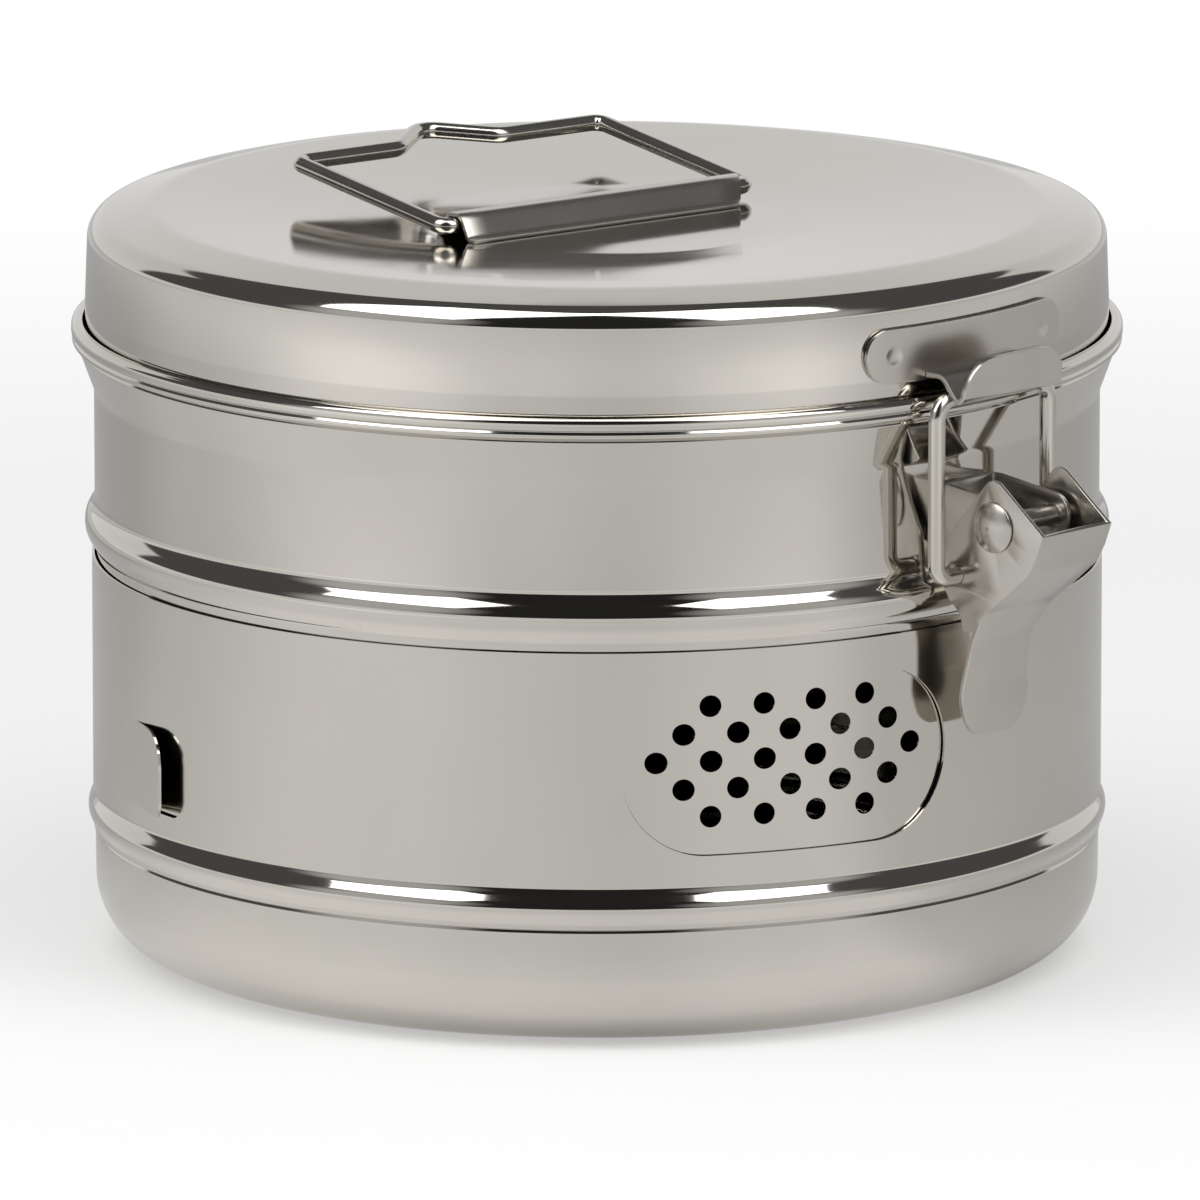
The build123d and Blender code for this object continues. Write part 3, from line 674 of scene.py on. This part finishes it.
def makeSaddle():
    path = openRun(roundedPath(saddle["profile"], saddle["radii"], 6.0), 0.7)
    ends = [(-saddle["half"], saddle["half"] - saddle["endTaper"] * max(p.x, 0)) for p in path]
    place = Matrix.Translation((0, 0, bail["pivotZ"] * mm)) @ Matrix.Rotation(radians(bail["turn"]), 4, "Z")
    pressedPiece("handleSaddle", [bentSheet(path, ends, saddle["sheet"], 12)], place, 0.2, "handle_saddle")


makeSaddle()
print("saddle made")


# ---------- keeper ----------
keeper = {"inner": 122.05, "sheet": 1.2, "half": 33.6, "low": 156.0, "height": 13.0, "dimpleSpread": 52.0,
          "dimpleRadius": 2.2, "dimpleDepth": 0.35, "lipHalf": 16.8, "lipCorner": 9.0,
          "lip": [(122.3, 156.7), (127.0, 156.7), (133.6, 148.8), (136.4, 162.2)], "lipRadii": [2.5, 2.2]}


def keeperPlate():
    inner, outer = keeper["inner"], keeper["inner"] + keeper["sheet"]
    rounding = keeper["height"] / 2
    middle = keeper["low"] + rounding
    columns, rows = 168, 26
    near, far = [], []
    for c in range(columns + 1):
        arc = (keeper["half"] - 0.02) * (2 * c / columns - 1)
        past = max(abs(arc) - keeper["half"] + rounding, 0)
        tall = sqrt(rounding**2 - past**2)
        near.append([])
        far.append([])
        for k in range(rows + 1):
            z = middle + tall * (2 * k / rows - 1)
            away = hypot(abs(arc) - keeper["dimpleSpread"] / 2, z - middle) / keeper["dimpleRadius"]
            radius = outer - keeper["dimpleDepth"] * max(1 - away**2, 0)
            near[-1].append(Vector((inner * sin(arc / outer), -inner * cos(arc / outer), z)))
            far[-1].append(Vector((radius * sin(arc / outer), -radius * cos(arc / outer), z)))
    return skin(near, far)


def keeperLip():
    path = openRun(roundedPath(keeper["lip"], keeper["lipRadii"], 6.0), 0.6)
    travelled = [0.0]
    for a, b in zip(path, path[1:]):
        travelled.append(travelled[-1] + (b - a).length)
    ends = []
    for along in travelled:
        past = max(along - travelled[-1] + keeper["lipCorner"], 0)
        half = keeper["lipHalf"] - keeper["lipCorner"] + sqrt(max(keeper["lipCorner"] ** 2 - past**2, 0))
        ends.append((-half, half))
    return bentSheet(path, ends, keeper["sheet"], 24)


pressedPiece("keeperHook", [keeperPlate(), keeperLip()], Matrix.Identity(4), 0.25, "keeper_hook")
print("keeper made")


# ---------- stage, light and camera ----------
studio = {"cameraDistance": 4.5, "cameraAzimuth": -46.3, "cameraElevation": 12.0, "frameWidth": 0.28708,
          "aimHeight": 0.0829, "aimRight": 0.00072, "sensor": 36.0}


def makeCamera():
    azimuth, elevation = radians(studio["cameraAzimuth"]), radians(studio["cameraElevation"])
    back = Vector((sin(azimuth) * cos(elevation), -cos(azimuth) * cos(elevation), sin(elevation)))
    right = Vector((cos(azimuth), sin(azimuth), 0))
    target = Vector((0, 0, studio["aimHeight"])) + right * studio["aimRight"]
    data = bpy.data.cameras.new("camera")
    data.sensor_width = studio["sensor"]
    data.lens = studio["sensor"] * studio["cameraDistance"] / studio["frameWidth"]
    data.clip_start, data.clip_end = 0.05, 200
    camera = bpy.data.objects.new("camera", data)
    camera.location = target + back * studio["cameraDistance"]
    camera.rotation_mode = "QUATERNION"
    camera.rotation_quaternion = (-back).to_track_quat("-Z", "Y")
    bpy.context.scene.collection.objects.link(camera)
    bpy.context.scene.camera = camera


def studioDirection(azimuth, elevation):
    # a direction from the drum, its azimuth counted from the camera to the right
    turn = radians(studio["cameraAzimuth"] + azimuth)
    return Vector((sin(turn) * cos(radians(elevation)), -cos(turn) * cos(radians(elevation)), sin(radians(elevation))))


softboxes = [{"azimuth": -50.5, "elevation": 58, "distance": 1.3, "width": 0.74, "height": 1.2, "power": 7.2},
             {"azimuth": 43.5, "elevation": 58, "distance": 1.3, "width": 0.62, "height": 1.2, "power": 6.5}]


def makeSoftbox(index, box):
    data = bpy.data.lights.new(f"softbox{index}", "AREA")
    data.shape = "RECTANGLE"
    data.size, data.size_y = box["width"], box["height"]
    data.energy = box["power"]
    lamp = bpy.data.objects.new(f"softbox{index}", data)
    out = studioDirection(box["azimuth"], box["elevation"])
    lamp.location = Vector((0, 0, 0.1)) + out * box["distance"]
    lamp.rotation_mode = "QUATERNION"
    lamp.rotation_quaternion = out.to_track_quat("Z", "Y")
    lamp.visible_camera = False
    bpy.context.scene.collection.objects.link(lamp)


room = {"fill": 0.45, "horizon": 6.0, "dark": 0.02, "darkSides": 0.08, "sweep": [(0.0, 0.80), (0.2, 0.76), (0.5, 0.70)],
        "sweepTop": 36.0, "sweepEdge": 125.0, "halo": 0.45, "haloHeight": 20.0, "haloFrom": 26.0, "haloTo": 9.0}
table = {"colour": "#C8C8C8", "seen": 0.40, "fadeFrom": 0.35, "fadeTo": 1.0,
         "glow": [(-180, 0.0), (-126, 0.0), (-98, 0.10), (-60, 0.21), (-38, 0.19), (-16, 0.13), (5, 0.08), (26, 0.15),
                  (43, 0.17), (62, 0.03), (180, 0.0)],
         "spill": 0.25, "spillSize": 0.65, "spillDistance": 1.15,
         "farGlow": 0.30, "farFrom": 0.8, "farTo": 1.4, "nearGlow": 0.15, "nearFrom": 0.24, "nearTo": 0.13}


def fillRamp(ramp, stops):
    while len(ramp.elements) < len(stops):
        ramp.elements.new(0.5)
    for element, (position, value) in zip(ramp.elements, stops):
        element.position = position
        element.color = (value, value, value, 1)


def makeWorld():
    # a dark room with a white paper sweep behind the drum and two lit softboxes over it, which is
    # what gives the polished steel its dark bands
    world = bpy.data.worlds.new("paleStudio")
    bpy.context.scene.world = world
    world.use_nodes = True
    tree = world.node_tree
    tree.nodes.clear()

    def calc(operation, a, b=0.0):
        return addNode(tree, "ShaderNodeMath", {0: a, 1: b}, operation=operation).outputs[0]

    def step(value, low, high, bottom=0.0, top=1.0):
        return addNode(tree, "ShaderNodeMapRange", {"Value": value, "From Min": low, "From Max": high, "To Min": bottom,
                                                    "To Max": top}, interpolation_type="SMOOTHSTEP").outputs[0]

    def towards(direction):
        dot = addNode(tree, "ShaderNodeVectorMath", {0: ray, 1: tuple(direction)}, operation="DOT_PRODUCT")
        return dot.outputs["Value"]

    ray = addNode(tree, "ShaderNodeTexCoord").outputs["Generated"]
    height = towards((0, 0, 1))
    level = calc("SQRT", calc("MAXIMUM", calc("SUBTRACT", 1.0, calc("MULTIPLY", height, height)), 0.0001))
    facing = calc("DIVIDE", towards(studioDirection(0, 0)), level)
    behind = step(facing, cos(radians(room["sweepEdge"] - 1.5)), cos(radians(room["sweepEdge"] + 1.5)))
    low = step(height, sin(radians(room["sweepTop"] + 1.0)), sin(radians(room["sweepTop"] - 1.0)))
    ground = step(height, sin(radians(room["horizon"] + 1.0)), sin(radians(room["horizon"] - 1.0)))
    bright = calc("MAXIMUM", calc("MULTIPLY", behind, low), ground)
    sweep = addNode(tree, "ShaderNodeValToRGB", {0: height})
    fillRamp(sweep.color_ramp, room["sweep"])
    dark = step(facing, 0.45, 0.85, room["darkSides"], room["dark"])
    for box in softboxes:
        near = towards(studioDirection(box["azimuth"], room["haloHeight"]))
        halo = step(near, cos(radians(room["haloFrom"])), cos(radians(room["haloTo"])), 0.0, room["halo"])
        dark = calc("ADD", dark, halo)
    mirrored = addNode(tree, "ShaderNodeMix", {"Factor": bright}, data_type="RGBA")
    tree.links.new(dark, mirrored.inputs[6])
    tree.links.new(sweep.outputs["Color"], mirrored.inputs[7])
    path = addNode(tree, "ShaderNodeLightPath")
    lit = addNode(tree, "ShaderNodeMix", {"Factor": path.outputs["Is Glossy Ray"]}, data_type="RGBA")
    lit.inputs[6].default_value = (room["fill"], room["fill"], room["fill"], 1)
    tree.links.new(mirrored.outputs[2], lit.inputs[7])
    seen = addNode(tree, "ShaderNodeMix", {"Factor": path.outputs["Is Camera Ray"]}, data_type="RGBA")
    tree.links.new(lit.outputs[2], seen.inputs[6])
    seen.inputs[7].default_value = (1, 1, 1, 1)
    sky = addNode(tree, "ShaderNodeBackground", {"Color": seen.outputs[2], "Strength": 1.0})
    addNode(tree, "ShaderNodeOutputWorld", {"Surface": sky.outputs[0]})


def makeFloor():
    # a pale table top: white to the eye with the drum's soft shadow on it, and to the steel a
    # little brighter where the two softboxes spill on it: painted light, an emission seen only in reflections, also
    # brighter far off and close round the drum
    floor = newMesh("floor", [(-30, -30, 0), (30, -30, 0), (30, 30, 0), (-30, 30, 0)], [(0, 1, 2, 3)])
    floor.data.transform(Matrix.Translation((0, 0, -0.05 * mm)))
    material = bpy.data.materials.new("whiteTable")
    material.use_nodes = True
    tree = material.node_tree
    tree.nodes.clear()

    def calc(operation, a, b=0.0):
        return addNode(tree, "ShaderNodeMath", {0: a, 1: b}, operation=operation).outputs[0]

    place = addNode(tree, "ShaderNodeTexCoord").outputs["Object"]
    # painted light for the steel: emission brighter at the bearings of the two softboxes
    turned = addNode(tree, "ShaderNodeMapping", {"Vector": place})
    turned.inputs["Rotation"].default_value = (0, 0, radians(90 - studio["cameraAzimuth"]))
    bearing = addNode(tree, "ShaderNodeTexGradient", {0: turned.outputs[0]}, gradient_type="RADIAL")
    ramp = addNode(tree, "ShaderNodeValToRGB", {0: bearing.outputs["Fac"]})
    ramp.color_ramp.interpolation = "EASE"
    fillRamp(ramp.color_ramp, [(0.5 + angle / 360, value) for angle, value in table["glow"]])
    paintedLightToSteel = ramp.outputs["Color"]
    # painted pools of light where the two softboxes spill on the table
    for box in softboxes:
        spot = studioDirection(box["azimuth"], 0) * table["spillDistance"]
        away = addNode(tree, "ShaderNodeVectorMath", {0: place, 1: tuple(spot)}, operation="DISTANCE").outputs["Value"]
        spill = addNode(tree, "ShaderNodeMapRange", {"Value": away, "From Min": table["spillSize"], "From Max": 0.0,
                                                     "To Min": 0.0, "To Max": table["spill"]}, interpolation_type="SMOOTHSTEP")
        paintedLightToSteel = calc("ADD", paintedLightToSteel, spill.outputs[0])
    # painted rings of light on the table, brighter far off and close round the drum's foot
    reach = addNode(tree, "ShaderNodeVectorMath", {0: place}, operation="LENGTH").outputs["Value"]
    for start, end, glow in (("farFrom", "farTo", "farGlow"), ("nearFrom", "nearTo", "nearGlow")):
        ring = addNode(tree, "ShaderNodeMapRange", {"Value": reach, "From Min": table[start], "From Max": table[end],
                                                    "To Min": 0.0, "To Max": table[glow]}, interpolation_type="SMOOTHSTEP")
        paintedLightToSteel = calc("ADD", paintedLightToSteel, ring.outputs[0])
    path = addNode(tree, "ShaderNodeLightPath")
    toEye = calc("MULTIPLY", path.outputs["Is Camera Ray"], table["seen"])
    strength = calc("ADD", calc("MULTIPLY", paintedLightToSteel, path.outputs["Is Glossy Ray"]), toEye)
    matt = addNode(tree, "ShaderNodeBsdfDiffuse", {"Color": srgb(table["colour"])})
    glow = addNode(tree, "ShaderNodeEmission", {"Color": (1, 1, 1, 1), "Strength": strength})
    both = addNode(tree, "ShaderNodeAddShader", {0: matt.outputs[0], 1: glow.outputs[0]})
    far = addNode(tree, "ShaderNodeMapRange", {"Value": reach, "From Min": table["fadeFrom"], "From Max": table["fadeTo"]},
                  interpolation_type="SMOOTHSTEP")
    white = addNode(tree, "ShaderNodeEmission", {"Color": (1, 1, 1, 1), "Strength": 1.0})
    surface = addNode(tree, "ShaderNodeMixShader", {0: calc("MULTIPLY", far.outputs[0], path.outputs["Is Camera Ray"])})
    tree.links.new(both.outputs[0], surface.inputs[1])
    tree.links.new(white.outputs[0], surface.inputs[2])
    addNode(tree, "ShaderNodeOutputMaterial", {"Surface": surface.outputs[0]})
    floor.data.materials.append(material)


makeCamera()
makeWorld()
makeFloor()
for index, softbox in enumerate(softboxes):
    makeSoftbox(index, softbox)
bpy.context.scene.view_settings.view_transform = "Standard"
print("studio ready")
